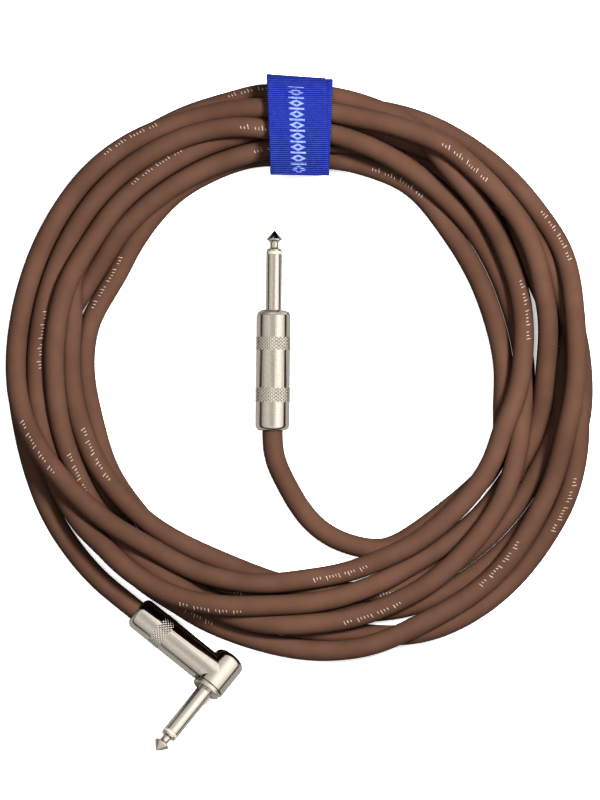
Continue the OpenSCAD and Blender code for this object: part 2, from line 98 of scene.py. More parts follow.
# Plugs: lengths along their own axes
FINGER_R = 3.175 * MM
FINGER_L = 31.75 * MM
TIP_L = 8.1 * MM
RING_W = 1.3 * MM
STRAIGHT_BARREL_R = 6.8 * MM
STRAIGHT_BARREL_FRONT = -1.95 * MM
STRAIGHT_BARREL_L = 46.2 * MM
ANGLED_BARREL_R = 6.6 * MM
ANGLED_BARREL_L = 34.4 * MM
ANGLED_FRONT = 8.1 * MM
STUB_X = 6.7 * MM
STRAIGHT_WALL = 0.95 * MM
ANGLED_WALL = 0.75 * MM
TAIL_HOLE_R = CABLE_R + 0.8 * MM
TAIL_WALL = 4.5 * MM
TAIL_ROUND = 2.2 * MM
TAIL_EDGE = 0.25 * MM
THREAD_R = 5.2 * MM
THREAD_L = 6 * MM
THREAD_PITCH = 0.8 * MM
THREAD_GAP = 0.05 * MM
THREAD_RELIEF = 0.9 * MM
THREAD_CUT = 0.42 * MM
ROD_R = 1.1 * MM
RING_BORE_R = 1.13 * MM
SLEEVE_BORE_R = 2.28 * MM
BOSS_R = 3.6 * MM
TIP_BASE_R = 3.0 * MM
STRAIGHT_ROD_END = -11.5 * MM
ANGLED_ROD_END = -6.9 * MM

# Strap
STRAP_Y = 100.4 * MM
STRAP_W = 23 * MM
STRAP_T = 1.8 * MM
STRAPPED_H = 24 * MM


# ---------------------------------------------------------------- small helpers

def unit(v):
    """The vector at a length of one."""
    v = np.asarray(v, float)
    return v / np.linalg.norm(v)


def new_mesh(name, points, faces, material=None, sharp=None):
    """A smooth mesh object from points and faces; edges past the sharp angle stay crisp."""
    mesh = bpy.data.meshes.new(name)
    mesh.from_pydata([tuple(p) for p in points], [], [tuple(f) for f in faces])
    made = bmesh.new()
    made.from_mesh(mesh)
    bmesh.ops.recalc_face_normals(made, faces=made.faces)
    made.to_mesh(mesh)
    made.free()
    mesh.polygons.foreach_set("use_smooth", [True] * len(mesh.polygons))
    if sharp:
        mesh.set_sharp_from_angle(angle=math.radians(sharp))
    mesh.update()
    made = bpy.data.objects.new(name, mesh)
    bpy.context.scene.collection.objects.link(made)
    if material:
        mesh.materials.append(material)
    return made


def grid_faces(rows, cols, closed_rows=False, closed_cols=False):
    """Quads of a grid of points stored row by row."""
    faces = []
    for i in range(rows if closed_rows else rows - 1):
        for j in range(cols if closed_cols else cols - 1):
            a, b = i * cols + j, i * cols + (j + 1) % cols
            k = (i + 1) % rows
            faces.append((a, b, k * cols + (j + 1) % cols, k * cols + j))
    return faces


def resample(points, step):
    """A smooth line through the points, with a point about every step."""
    p = np.asarray(points, float)
    p = np.vstack([2 * p[0] - p[1], p, 2 * p[-1] - p[-2]])
    knots = np.r_[0, np.cumsum(np.linalg.norm(np.diff(p, axis=0), axis=1) ** 0.5)]
    line = []
    for i in range(1, len(p) - 2):
        t0, t1, t2, t3 = knots[i - 1:i + 3]
        count = max(2, int(math.ceil(np.linalg.norm(p[i + 1] - p[i]) / (step / 4))))
        for t in np.linspace(t1, t2, count, endpoint=False):
            a1 = ((t1 - t) * p[i - 1] + (t - t0) * p[i]) / (t1 - t0)
            a2 = ((t2 - t) * p[i] + (t - t1) * p[i + 1]) / (t2 - t1)
            a3 = ((t3 - t) * p[i + 1] + (t - t2) * p[i + 2]) / (t3 - t2)
            b1 = ((t2 - t) * a1 + (t - t0) * a2) / (t2 - t0)
            b2 = ((t3 - t) * a2 + (t - t1) * a3) / (t3 - t1)
            line.append(((t2 - t) * b1 + (t - t1) * b2) / (t2 - t1))
    line = np.array(line + [p[-2]])
    along = np.r_[0, np.cumsum(np.linalg.norm(np.diff(line, axis=0), axis=1))]
    even = np.linspace(0, along[-1], int(round(along[-1] / step)) + 1)
    return np.column_stack([np.interp(even, along, line[:, k]) for k in range(3)])


def frames_along(path):
    """Unit tangent, side and top vectors along a path, with no needless twist."""
    tangent = np.gradient(path, axis=0)
    tangent /= np.linalg.norm(tangent, axis=1)[:, None]
    side = np.cross(tangent, [0, 0, 1.0])
    side /= np.linalg.norm(side, axis=1)[:, None]
    return tangent, side, np.cross(side, tangent)


# ---------------------------------------------------------------- where the plugs lie

MOUNTS = {m["name"]: m for m in RECORD["mounts"]}
JOINTS = {j["name"]: j for j in frame["joints"]}


def finger_frame(mount):
    """Front of the collar and the direction to the tip."""
    axis = unit(MOUNTS[mount]["axis"])
    return np.array(MOUNTS[mount]["pos_m"]) - axis * (FINGER_L - TIP_L) / 2, axis


STRAIGHT_AT, STRAIGHT_AXIS = finger_frame("straight_plug_pin")
ANGLED_FINGER_AT, ANGLED_AXIS = finger_frame("angled_plug_pin")
ANGLED_CENTRE = ANGLED_FINGER_AT - ANGLED_AXIS * ANGLED_FRONT
ANGLED_BARREL_AXIS = -unit(JOINTS["angled_barrel_travel"]["axis"])
ANGLED_FACE = ANGLED_CENTRE - ANGLED_BARREL_AXIS * STUB_X


# ---------------------------------------------------------------- camera

FIELD_H = 320 * MM
CAMERA_H = 1.6
CAMERA_AT = (0.27 * MM, 5.2 * MM)
SENSOR_MM = 36
# The height over the ground at which the field has its stated size
FIELD_Z = 8 * MM


def make_camera():
    data = bpy.data.cameras.new("camera")
    data.sensor_width = SENSOR_MM
    data.lens = SENSOR_MM * CAMERA_H / FIELD_H
    camera = bpy.data.objects.new("camera", data)
    bpy.context.scene.collection.objects.link(camera)
    camera.location = (CAMERA_AT[0], CAMERA_AT[1], CAMERA_H + FIELD_Z)
    data.clip_end = 20
    bpy.context.scene.camera = camera


make_camera()


# ---------------------------------------------------------------- the cable's line

PER_TURN = 144
STEP_DEG = 360 / PER_TURN

# Settling the turns: rounds, how hard they keep to their routes, and how fast they sink, in mm
ROUNDS = 600
PUSHES = 3
ROUTE_PULL = 0.05
SINK = 0.12
FIRST_LIFT = 1.2
SPACING = 1.025
NEIGHBOUR = 1.7
# Degrees from the strap where its lower side lifts the turns, and where it keeps them down
STRAP_LIFT_FROM = 13
STRAP_LIFT_OVER = 6
STRAP_HOLDS = 8
# The right-angle barrel lies between these degrees, and keeps the turns inside this radius in mm
BARREL_FROM = 206
BARREL_TO = 232
BARREL_KEEPS_IN = 102.3
NO_LIMIT = 999


def smooth_line(v, share, times=1):
    """The values with each moved part of the way to the middle of its neighbours."""
    for _ in range(times):
        inner = (1 - share) * v[1:-1] + share * 0.5 * (v[:-2] + v[2:])
        v = np.concatenate([v[:1], inner, v[-1:]])
    return v


def spline_values(x, y, at):
    """Smooth values at the places at, through evenly spaced x and y."""
    i = np.clip(np.searchsorted(x, at, side="right") - 1, 0, len(x) - 2)
    h = x[i + 1] - x[i]
    t = (at - x[i]) / h
    slope = np.gradient(y, x)
    t2, t3 = t * t, t * t * t
    return ((2 * t3 - 3 * t2 + 1) * y[i] + (t3 - 2 * t2 + t) * h * slope[i]
            + (3 * t2 - 2 * t3) * y[i + 1] + (t3 - t2) * h * slope[i + 1])


def wound_turns():
    """The coil's turns laid down one on another: angles, radii and heights, in degrees and mm.

    Each turn is drawn to its own radius and down to the ground, stays a diameter from
    its neighbours, and passes over or under them as the pile's order says.
    """
    d = CABLE_D / MM
    angle, radius = [], []
    for turn, (_, start, radii) in enumerate(TURNS):
        for k, r in enumerate(radii):
            angle.append(360 * turn + start + COIL_STEP * k)
            radius.append(r)
    angle, radius = np.array(angle, float), np.array(radius, float)
    at = np.arange(angle[0], angle[-1] + 0.1, STEP_DEG)
    drawn = spline_values(angle, radius, at)
    turn = np.floor(at / 360).astype(int)
    place = at % 360
    order = np.array([TURNS[t][0] for t in turn], float)
    for t, start, end, height in CROSSINGS:
        order[(turn == t) & (place >= start) & (place <= end)] = height
    grid = np.full((len(TURNS), PER_TURN), -1)
    slot = np.round(at / STEP_DEG).astype(int)
    grid[slot // PER_TURN, slot % PER_TURN] = np.arange(len(at))
    one, two = [], []
    for a in range(len(TURNS)):
        for b in range(a + 1, len(TURNS)):
            both = (grid[a] >= 0) & (grid[b] >= 0)
            one.append(grid[a][both])
            two.append(grid[b][both])
    one, two = np.concatenate(one), np.concatenate(two)
    near = np.abs(drawn[one] - drawn[two]) < NEIGHBOUR * d
    one, two = one[near], two[near]
    above = np.where(order[one] > order[two], 1.0, -1.0)
    # the strap's lower side lifts the bundle, and the right-angle barrel keeps it in
    from_strap = np.minimum(place, 360 - place)
    lifted = np.clip((STRAP_LIFT_FROM - from_strap) / STRAP_LIFT_OVER, 0, 1)
    ground = d / 2 + (STRAP_T / MM) * lifted
    ceiling = np.where(from_strap < STRAP_HOLDS, (STRAPPED_H / MM) - d / 2, NO_LIMIT)
    by_barrel = (place > BARREL_FROM) & (place < BARREL_TO) & (turn > 0)
    outside = np.where(by_barrel, BARREL_KEEPS_IN, NO_LIMIT)
    x, z = drawn.copy(), ground + order * FIRST_LIFT
    gap = d * SPACING
    for _ in range(ROUNDS):
        x += (drawn - x) * ROUTE_PULL
        z -= SINK
        x, z = smooth_line(x, 0.3), smooth_line(z, 0.5, 2)
        for _ in range(PUSHES):
            dx, dz = x[one] - x[two], z[one] - z[two]
            apart = np.hypot(dx, dz)
            wrong = (np.abs(dx) < 0.75 * gap) & (dz * above < 0.15 * gap)
            close = (apart < gap) | wrong
            uz = np.where(wrong, above * np.maximum(np.abs(dz), 0.6 * gap), dz)
            size = np.hypot(dx, uz) + 1e-9
            push = np.where(wrong, 0.5, np.clip(gap - apart, 0, 1)) * 0.5 * close
            mx, mz, count = np.zeros_like(x), np.zeros_like(x), np.zeros_like(x)
            for index, sign in ((one, 1), (two, -1)):
                np.add.at(mx, index, sign * dx / size * push * 0.5)
                np.add.at(mz, index, sign * uz / size * push)
                np.add.at(count, index, close)
            share = 1 / np.sqrt(np.maximum(count, 1))
            x = np.minimum(x + mx * share, outside)
            z = np.minimum(np.maximum(z + mz * share, ground), ceiling)
    return at, x, z


# The coil joins its leads at these degrees of its winding
COIL_FROM = 250
COIL_TO = 8 * 360 + 118
# Where the line lies inside the right-angle barrel, in mm behind the barrel's front
IN_BARREL = (11.5, 24, 35.4)
LINE_STEP = 2.4 * MM


def cable_line():
    """The whole cable's centreline, from inside the straight plug to inside the other."""
    at, x, z = wound_turns()
    angle = np.radians(at)
    coil = np.column_stack([x * np.sin(angle), x * np.cos(angle), z]) * MM + COIL_MIDDLE
    keep = (at > COIL_FROM) & (at < COIL_TO)
    first = np.array(STRAIGHT_LEAD[:-3]) * MM + COIL_MIDDLE
    last = np.array(ANGLED_LEAD[:-1]) * MM + COIL_MIDDLE
    inside = [ANGLED_FACE - ANGLED_BARREL_AXIS * s * MM for s in IN_BARREL]
    turns = coil[keep][::-1]
    line = resample(np.vstack([first, turns, last[::-1], inside[::-1]]), LINE_STEP)
    for _ in range(6):
        line[1:-1] = 0.5 * line[1:-1] + 0.25 * (line[:-2] + line[2:])
    return line


LINE = cable_line()


# ---------------------------------------------------------------- materials

class Nodes:
    """Short names for building a material's node tree."""

    def __init__(self, name):
        self.material = bpy.data.materials.new(name)
        self.material.use_nodes = True
        self.tree = self.material.node_tree
        self.shader = self.tree.nodes["Principled BSDF"]

    def node(self, kind, **values):
        made = self.tree.nodes.new(kind)
        for key, value in values.items():
            if hasattr(made, key):
                setattr(made, key, value)
            else:
                made.inputs[key.replace("_", " ")].default_value = value
        return made

    def link(self, source, target):
        self.tree.links.new(source, target)

    def set(self, **values):
        for key, value in values.items():
            self.shader.inputs[key.replace("_", " ")].default_value = value

    def place(self):
        return self.node("ShaderNodeTexCoord").outputs["Object"]

    def noise(self, scale, detail=3, roughness=0.5):
        made = self.node("ShaderNodeTexNoise", Scale=scale, Detail=detail, Roughness=roughness)
        self.link(self.place(), made.inputs["Vector"])
        return made.outputs["Fac"]

    def ramp(self, source, stops):
        made = self.node("ShaderNodeValToRGB")
        ramp = made.color_ramp
        while len(ramp.elements) < len(stops):
            ramp.elements.new(0.5)
        for element, (position, colour) in zip(ramp.elements, stops):
            element.position = position
            element.color = (*colour, 1)
        self.link(source, made.inputs["Fac"])
        return made.outputs["Color"]

    def grey(self, source, low, high):
        made = self.node("ShaderNodeMapRange")
        made.inputs["To Min"].default_value = low
        made.inputs["To Max"].default_value = high
        self.link(source, made.inputs["Value"])
        return made.outputs["Result"]

    def bump(self, height, strength, distance):
        made = self.node("ShaderNodeBump", Strength=strength, Distance=distance)
        self.link(height, made.inputs["Height"])
        self.link(made.outputs["Normal"], self.shader.inputs["Normal"])


def nickel():
    """Warm nickel plate with faint handling marks."""
    n = Nodes("nickel")
    n.set(Metallic=1.0)
    wear = n.noise(900, 4, 0.6)
    n.link(n.ramp(wear, [(0.3, (0.53, 0.485, 0.42)), (0.7, (0.58, 0.54, 0.48))]),
           n.shader.inputs["Base Color"])
    n.link(n.grey(n.noise(350, 3), 0.09, 0.19), n.shader.inputs["Roughness"])
    n.bump(n.noise(2500, 2), 0.05, 0.0001)
    return n.material


def jacket():
    """Matt brown rubber with a fine grain and slight streaks of handling."""
    n = Nodes("jacket")
    tone = n.noise(38, 4, 0.6)
    n.link(n.ramp(tone, [(0.3, (0.084, 0.048, 0.034)), (0.7, (0.116, 0.067, 0.049))]),
           n.shader.inputs["Base Color"])
    n.link(n.grey(n.noise(260, 3), 0.46, 0.6), n.shader.inputs["Roughness"])
    n.set(Specular_IOR_Level=0.07)
    n.bump(n.noise(2600, 3), 0.12, 0.0002)
    return n.material


RIB = 0.78 * MM
# A wave texture runs 20 radians to a unit of its scale
RIB_WAVES = 2 * math.pi / (20 * RIB)


def woven_with_painted_rib_shade(name, low, high):
    """Ribbed webbing: painted shade in the valleys and painted highlight on the ridges, in stripes across it,
    broken up by the yarn's own random tone.
    """
    n = Nodes(name)
    # stripes of painted shade and painted highlight, one to a rib: dark in the valleys, pale on the ridges
    bands = n.node("ShaderNodeTexWave", bands_direction="Y", Scale=RIB_WAVES, Distortion=1.2)
    bands.inputs["Detail Scale"].default_value = 40
    n.link(n.place(), bands.inputs["Vector"])
    mix = n.node("ShaderNodeMath", operation="MULTIPLY")
    n.link(n.grey(bands.outputs["Fac"], 0.25, 1.0), mix.inputs[0])
    n.link(n.grey(n.noise(520, 4, 0.7), 0.45, 1.35), mix.inputs[1])
    n.link(n.ramp(mix.outputs["Value"], [(0.15, low), (0.95, high)]),
           n.shader.inputs["Base Color"])
    n.set(Roughness=0.85, Specular_IOR_Level=0.25)
    n.bump(n.noise(2400), 0.4, 0.0002)
    return n.material


def simple(name, low, high, scale=600, rough=(0.4, 0.6), metallic=0.0, bump=0.1):
    """A material whose colour and roughness vary a little over the surface."""
    n = Nodes(name)
    n.set(Metallic=metallic)
    n.link(n.ramp(n.noise(scale), [(0.3, low), (0.7, high)]), n.shader.inputs["Base Color"])
    n.link(n.grey(n.noise(scale * 1.7), *rough), n.shader.inputs["Roughness"])
    n.bump(n.noise(scale * 4), bump, 0.0001)
    return n.material


MATERIALS = {
    "nickel": nickel(),
    "jacket": jacket(),
    "brass": simple("brass", (0.55, 0.40, 0.16), (0.66, 0.50, 0.22), 500, (0.25, 0.4), 1.0),
    "copper": simple("copper", (0.58, 0.27, 0.14), (0.68, 0.34, 0.20), 800, (0.3, 0.45), 1.0),
    "solder": simple("solder", (0.48, 0.49, 0.50), (0.6, 0.6, 0.6), 900, (0.3, 0.5), 1.0),
    "nylon": simple("nylon", (0.36, 0.34, 0.28), (0.44, 0.42, 0.36), 700, (0.35, 0.5)),
    "fibre": simple("fibre", (0.13, 0.06, 0.03), (0.20, 0.10, 0.05), 900, (0.6, 0.8), 0, 0.3),
    "black_tube": simple("black_tube", (0.01, 0.01, 0.01), (0.02, 0.02, 0.02), 300),
    "core_insulation": simple("core_insulation", (0.75, 0.75, 0.72), (0.85, 0.85, 0.82)),
    # the webbing's colours run from painted shade in the rib valleys to painted highlight on the ridges
    "webbing": woven_with_painted_rib_shade("webbing", (0.005, 0.011, 0.068), (0.040, 0.060, 0.31)),
    "pattern": simple("pattern", (0.12, 0.16, 0.38), (0.26, 0.31, 0.58), 1400,
                      (0.7, 0.85), 0, 0.3),
    "hook_tape": simple("hook_tape", (0.02, 0.02, 0.10), (0.04, 0.04, 0.16), 1500,
                        (0.8, 0.95), 0, 0.6),
    "thread": simple("thread", (0.25, 0.32, 0.7), (0.35, 0.42, 0.8), 900, (0.6, 0.8), 0, 0.2),
    "ink": simple("ink", (0.30, 0.25, 0.21), (0.46, 0.40, 0.35), 900, (0.5, 0.6)),
}
SLOT_OF = {s["node"]: s["material_slot"] for s in RECORD["subparts"]}


def dress_nodes():
    """Every CAD node takes its slot's material."""
    for name, node in NODES.items():
        node.data.materials.clear()
        node.data.materials.append(MATERIALS[SLOT_OF[name]])


dress_nodes()


# ---------------------------------------------------------------- cable

TUBE_SIDES = 24


def make_cable():
    """The jacket as one tube along its own line, closed at both ends."""
    _, side, top = frames_along(LINE)
    turn = np.linspace(0, 2 * np.pi, TUBE_SIDES, endpoint=False)
    rings = (LINE[:, None] + CABLE_R * (np.cos(turn)[None, :, None] * side[:, None]
                                        + np.sin(turn)[None, :, None] * top[:, None]))
    points = rings.reshape(-1, 3)
    faces = grid_faces(len(LINE), TUBE_SIDES, closed_cols=True)
    faces.append(tuple(range(TUBE_SIDES)))
    start = (len(LINE) - 1) * TUBE_SIDES
    faces.append(tuple(start + TUBE_SIDES - 1 - j for j in range(TUBE_SIDES)))
    made = new_mesh("cable_jacket", points, faces, MATERIALS["jacket"])
    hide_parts("cable_coil", "cable_lead_straight", "cable_lead_angled")
    return made


CABLE = make_cable()
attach(CABLE, "root")


# ---------------------------------------------------------------- turned pieces of the plugs

KNURLS = 30
KNURL_PITCH = 1.3 * MM
KNURL_H = 0.2 * MM
FRONT_BAND = (8.55 * MM, 14.15 * MM)
REAR_BAND = (11.25 * MM, 17.25 * MM)
ANGLED_BAND = (18.45 * MM, 23.95 * MM)
KNURL_CUT = 0.34 * MM
KNURL_GROOVE = 0.42
KNURL_RUN_IN = 0.3 * MM
ROWS_TO_A_PITCH = 7
ROUND_SIDES = 64
SLEEVE_SIDES = 144


def soften(profile, amount, loop=False):
    """The profile with each corner cut off, so that its edges catch the light."""
    p = np.asarray(profile, float)
    made = [] if loop else [p[0]]
    for i in range(0 if loop else 1, len(p) if loop else len(p) - 1):
        here = p[i]
        for other in (p[i - 1], p[(i + 1) % len(p)]):
            reach = np.linalg.norm(other - here)
            made.append(here + (other - here) * min(amount / reach, 0.4))
    return np.array(made if loop else made + [p[-1]])


def fill_in(profile, start, end, step):
    """The profile with more points where it runs between two places along the axis."""
    made = [profile[0]]
    for a, b in zip(profile[:-1], profile[1:]):
        if start - 1e-7 <= min(a[0], b[0]) and max(a[0], b[0]) <= end + 1e-7:
            count = max(1, int(round(np.linalg.norm(b - a) / step)))
            made += [a + (b - a) * k / count for k in range(1, count)]
        made.append(b)
    return np.array(made)


def lathe(name, at, axis, profile, sides, material, relief=None, loop=False):
    """A turned piece from (place along the axis, radius) pairs; relief adds to the radius."""
    axis = unit(axis)
    side = unit(np.cross([0, 0, 1.0], axis))
    up = np.cross(axis, side)
    along, radius = np.asarray(profile, float).T
    turn = np.linspace(0, 2 * np.pi, sides, endpoint=False)
    r = np.repeat(radius[:, None], sides, axis=1)
    if relief:
        r = r + relief(along[:, None], radius[:, None], turn[None, :])
    points = (at + along[:, None, None] * axis
              + r[:, :, None] * (np.cos(turn)[:, None] * side + np.sin(turn)[:, None] * up))
    faces = grid_faces(len(along), sides, closed_rows=loop, closed_cols=True)
    if not loop:
        faces.append(tuple(range(sides)))
        faces.append(tuple((len(along) - 1) * sides + j for j in range(sides)))
    return new_mesh(name, points.reshape(-1, 3), faces, material, sharp=38)


def groove(phase, width):
    """1 in the middle of a groove, 0 outside it; one groove for each whole number."""
    off = np.abs(phase - np.round(phase))
    return np.clip(1 - off / width, 0, 1)


def knurled(bands):
    """Relief of diamond knurling on the bands; each band is (from, to) along the axis."""
    def relief(along, radius, turn):
        lift = np.zeros(np.broadcast(along, turn).shape)
        around = KNURLS * turn / (2 * np.pi)
        cut = np.maximum(groove(around + along / KNURL_PITCH, KNURL_GROOVE),
                         groove(around - along / KNURL_PITCH, KNURL_GROOVE))
        for start, end in bands:
            edge = np.clip(np.minimum(along - start, end - along) / KNURL_RUN_IN, 0, 1)
            outside = radius > THREAD_R + 0.8 * MM
            lift += np.where(outside, edge * (KNURL_H - KNURL_CUT * cut), 0)
        return lift
    return relief


def make_barrel(prefix, at, axis, radius, length, inside_r, bands):
    """A barrel, turned and knurled; its front face is at the point, its tail behind it."""
    bore_r = THREAD_R + THREAD_GAP
    bore_end = -THREAD_L - THREAD_RELIEF
    floor = -length + TAIL_WALL
    outer = soften([(bore_end, inside_r), (bore_end, bore_r), (0, bore_r), (0, radius)],
                   0.12 * MM)
    tail = [(-length + TAIL_ROUND * (1 - math.sin(a)), radius - TAIL_ROUND * (1 - math.cos(a)))
            for a in np.radians(np.arange(0, 91, 10))]
    tail += [(-length, TAIL_HOLE_R + TAIL_EDGE), (-length + TAIL_EDGE, TAIL_HOLE_R)]
    tail += [(floor, TAIL_HOLE_R), (floor, inside_r)]
    profile = np.vstack([outer, tail])
    for start, end in bands:
        profile = fill_bands(profile, radius, start, end)
    made = lathe(prefix + "_barrel_knurled", at, axis, profile, 6 * KNURLS, MATERIALS["nickel"],
                 knurled(bands), loop=True)
    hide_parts(prefix + "_barrel")
    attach(made, prefix + "_barrel")
    return made


def fill_bands(profile, radius, start, end):
    """The profile with seven rows to a knurl along one band of the outside."""
    rows = int(round((end - start) / (KNURL_PITCH / ROWS_TO_A_PITCH)))
    fresh = [(s, radius) for s in np.linspace(end + 0.02 * MM, start - 0.02 * MM, rows + 1)]
    made, placed = [], False
    for a, b in zip(profile[:-1], profile[1:]):
        made.append(tuple(a))
        on_outside = abs(a[1] - radius) < 1e-6 and abs(b[1] - radius) < 1e-6
        if not placed and on_outside and a[0] >= end and b[0] <= start:
            made += fresh
            placed = True
    return np.array(made + [tuple(profile[-1])])


def tip_profile(rod_end):
    """Tip contact from its point back, with a crisp cone, a waist and a shoulder."""
    waist = [(FINGER_L - TIP_L + 0.7 * MM + 2.3 * MM * t,
              (1.7 + 1.3 * (1 - math.sin(math.pi * t)) ** 1.6 * (1 - t)) * MM)
             for t in np.linspace(0.05, 0.5, 5)]
    ball = [(FINGER_L - (5.1 - 1.4 * math.sin(a)) * MM,
             (1.7 + 1.475 * (1 - math.cos(a))) * MM) for a in np.radians(np.arange(15, 91, 15))]
    base = FINGER_L - TIP_L
    return ([(rod_end, ROD_R), (base, ROD_R), (base, TIP_BASE_R),
             (base + 0.6 * MM, TIP_BASE_R)] + waist + ball
            + [(FINGER_L - 3.2 * MM, FINGER_R), (FINGER_L - 0.35 * MM, 0.65 * MM),
               (FINGER_L - 0.1 * MM, 0.4 * MM), (FINGER_L, 0.12 * MM)])


def make_finger(prefix, at, axis, body_profile, relief, rod_end):
    """Tip, ring and sleeve of one plug."""
    tip = lathe(prefix + "_tip_turned", at, axis, soften(tip_profile(rod_end), 0.05 * MM),
                ROUND_SIDES, MATERIALS["nickel"])
    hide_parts(prefix + "_tip_contact")
    ring_start = FINGER_L - TIP_L - RING_W
    ring_r = FINGER_R - 0.05 * MM
    ring = lathe(prefix + "_ring_moulded", at, axis,
                 soften([(ring_start, RING_BORE_R), (ring_start, ring_r),
                         (ring_start + RING_W, ring_r),
                         (ring_start + RING_W, RING_BORE_R)], 0.08 * MM, loop=True),
                 ROUND_SIDES, MATERIALS["nylon"], loop=True)
    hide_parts(prefix + "_tip_insulator")
    sleeve = lathe(prefix + "_sleeve_turned", at, axis, body_profile, SLEEVE_SIDES,
                   MATERIALS["nickel"], relief, loop=True)
    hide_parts(prefix + "_sleeve_contact")
    for piece in (tip, ring, sleeve):
        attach(piece, "root")
    return tip, ring, sleeve


def straight_body():
    """Sleeve, notched collar, thread and boss of the straight plug."""
    collar, thread_end, boss_end = -1.9 * MM, -7.9 * MM, -9.4 * MM
    sleeve_end = FINGER_L - TIP_L - RING_W
    profile = soften([(boss_end, SLEEVE_BORE_R), (boss_end, BOSS_R), (thread_end, BOSS_R),
                      (thread_end, THREAD_R), (collar, THREAD_R), (collar, 6.7 * MM),
                      (-0.9 * MM, 6.35 * MM), (-0.12 * MM, 4.9 * MM), (0, 4.6 * MM),
                      (0, FINGER_R), (sleeve_end, FINGER_R),
                      (sleeve_end, SLEEVE_BORE_R)], 0.06 * MM, loop=True)
    profile = fill_in(profile, thread_end, collar, THREAD_PITCH / ROWS_TO_A_PITCH)
    profile = fill_in(profile, collar, 0, 0.2 * MM)

    def relief(along, radius, turn):
        on_thread = (along > -7.85 * MM) & (along < -1.95 * MM) & (radius > 5 * MM)
        thread = groove(turn / (2 * np.pi) + along / THREAD_PITCH, 0.5)
        on_collar = (along > -1.85 * MM) & (radius > 4.7 * MM) & (along < 0.01 * MM)
        notch = groove(34 * turn / (2 * np.pi) + along / (1.5 * MM), 0.3)
        return -THREAD_CUT * thread * on_thread - 0.3 * MM * notch * on_collar
    return profile, relief


def angled_body():
    """Sleeve, collar and spigot of the right-angle plug."""
    collar, groove_end, spigot_end = -1.8 * MM, -2.2 * MM, -4.8 * MM
    sleeve_end = FINGER_L - TIP_L - RING_W
    profile = soften([(spigot_end, SLEEVE_BORE_R), (spigot_end, BOSS_R), (groove_end, BOSS_R),
                      (groove_end, 5.4 * MM), (collar, 5.4 * MM), (collar, 6 * MM),
                      (-0.35 * MM, 6 * MM), (0, 5.6 * MM), (0, FINGER_R),
                      (sleeve_end, FINGER_R),
                      (sleeve_end, SLEEVE_BORE_R)], 0.08 * MM, loop=True)
    profile = fill_in(profile, collar, 0, 0.25 * MM)

    def relief(along, radius, turn):
        on_edge = (along > -1.7 * MM) & (radius > 5.7 * MM) & (along < -0.1 * MM)
        return -0.16 * MM * groove(48 * turn / (2 * np.pi) + along / (2 * MM), 0.3) * on_edge
    return profile, relief


def bands_behind(length, from_front=(), from_tail=()):
    """Bands as (from, to) along the barrel's axis, from distances behind its front or tail."""
    made = [(-end, -start) for start, end in from_front]
    return made + [(start - length, end - length) for start, end in from_tail]


make_barrel(
    "straight", STRAIGHT_AT + STRAIGHT_AXIS * STRAIGHT_BARREL_FRONT, STRAIGHT_AXIS,
    STRAIGHT_BARREL_R, STRAIGHT_BARREL_L, STRAIGHT_BARREL_R - STRAIGHT_WALL,
    bands_behind(STRAIGHT_BARREL_L, [FRONT_BAND], [REAR_BAND]))
ANGLED_BARREL = make_barrel(
    "angled", ANGLED_FACE - ANGLED_BARREL_AXIS * 0.05 * MM, ANGLED_BARREL_AXIS,
    ANGLED_BARREL_R, ANGLED_BARREL_L, ANGLED_BARREL_R - ANGLED_WALL,
    bands_behind(ANGLED_BARREL_L, [ANGLED_BAND]))
make_finger("straight", STRAIGHT_AT, STRAIGHT_AXIS, *straight_body(), STRAIGHT_ROD_END)
ANGLED_FINGER = make_finger("angled", ANGLED_FINGER_AT, ANGLED_AXIS, *angled_body(),
                            ANGLED_ROD_END)


# ---------------------------------------------------------------- strap

STRAP_MIDDLE = COIL_MIDDLE + np.array([0, STRAP_Y, 0])
RIB_H = 0.16 * MM
TAPE_RIB_H = 0.02 * MM
YARN = 0.62 * MM
ROWS_TO_A_RIB = 6
ACROSS = 25


def even_path(points, step):
    """Points of a flat path, evenly spaced, with its normals and its length so far."""
    p = np.asarray(points, float)
    along = np.r_[0, np.cumsum(np.linalg.norm(np.diff(p, axis=0), axis=1))]
    at = np.linspace(0, along[-1], int(round(along[-1] / step)) + 1)
    line = np.column_stack([np.interp(at, along, p[:, k]) for k in (0, 1)])
    heading = np.gradient(line, axis=0)
    heading /= np.linalg.norm(heading, axis=1)[:, None]
    return line, np.column_stack([-heading[:, 1], heading[:, 0]]), at


